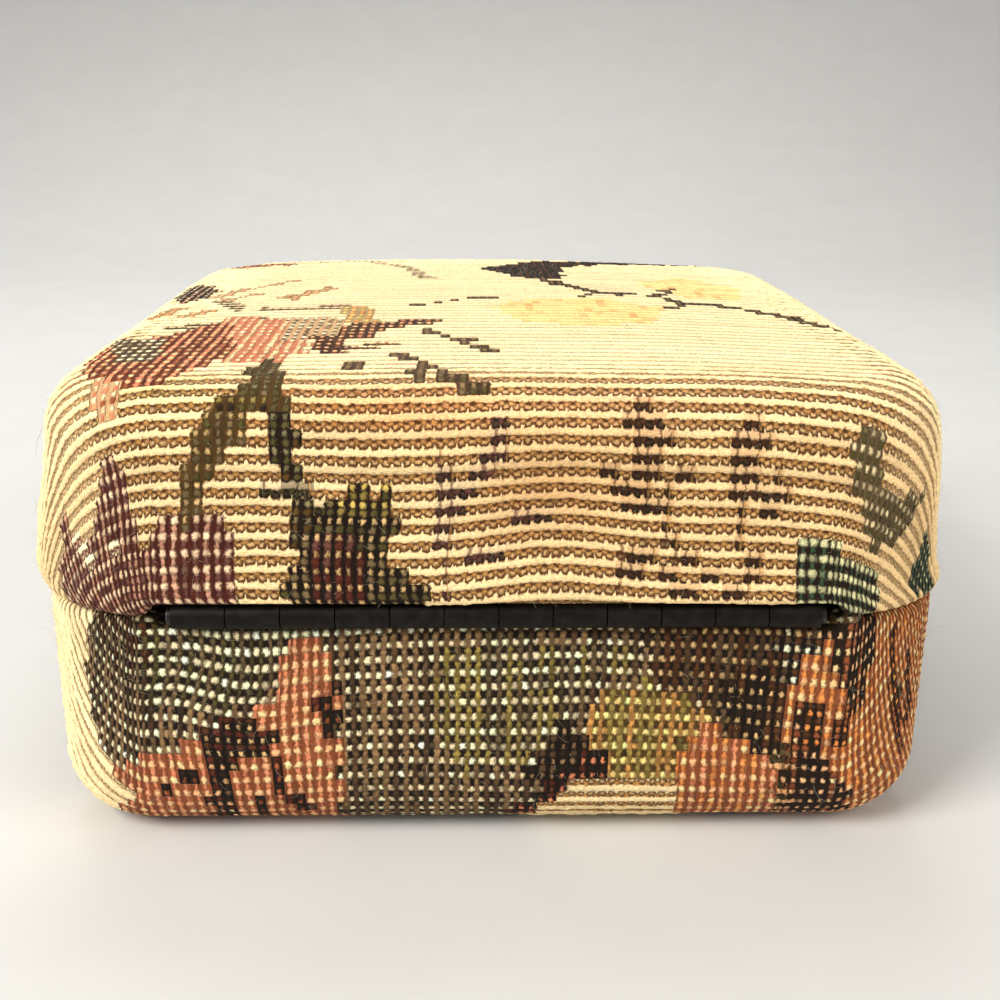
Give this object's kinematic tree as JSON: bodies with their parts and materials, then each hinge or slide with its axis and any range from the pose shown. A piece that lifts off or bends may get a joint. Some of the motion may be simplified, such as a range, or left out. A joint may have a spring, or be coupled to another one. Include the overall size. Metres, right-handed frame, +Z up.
{
  "type": "brocade keepsake box",
  "caption": "Small square keepsake box covered in ribbed floral tapestry, with a padded domed lid on a steel pin hinge at the back and a velvet-lined inside.",
  "frame": {"origin": "middle of the underside, on the surface that the box stands on", "axes": "+Z up, the shortest way through the box; +Y towards the hinge at the back; -Y the opening front; X along the hinge pin"},
  "size_m": [0.0898, 0.0898, 0.0468],
  "materials": {
    "tapestry_light": "ribbed cotton tapestry, cream ground with flowers and leaves",
    "tapestry_dark": "the same tapestry, charcoal ground with flowers and leaves",
    "foam": "soft open foam",
    "wadding": "thin bonded wadding",
    "moulded_shell": "moulded, matt",
    "black_lacquer": "black lacquer on steel sheet, half gloss",
    "pin_steel": "blackened steel wire",
    "spring_steel": "blued spring steel",
    "velvet": "short pile velvet, dark red",
    "board": "grey board"
  },
  "bodies": {
    "base": {"base_cover": "tapestry_dark", "base_wadding": "wadding", "base_shell": "moulded_shell", "base_frame": "black_lacquer", "hinge_pin": "pin_steel", "snap_spring": "spring_steel", "base_lining": "velvet", "floor_card": "board", "floor_pad": "velvet"},
    "lid": {"lid_cover": "tapestry_light", "lid_foam": "foam", "lid_shell": "moulded_shell", "lid_frame": "black_lacquer", "lid_lining": "velvet", "lid_card": "board", "lid_pad": "velvet"}
  },
  "joints": [
    {"name": "lid_hinge", "type": "hinge", "parent": "base", "child": "lid", "pos_m": [0, 0.0436, 0.0242], "axis": [-1, 0, 0], "range_deg": [0, 95], "deforming": ["snap_spring"]}
  ]
}
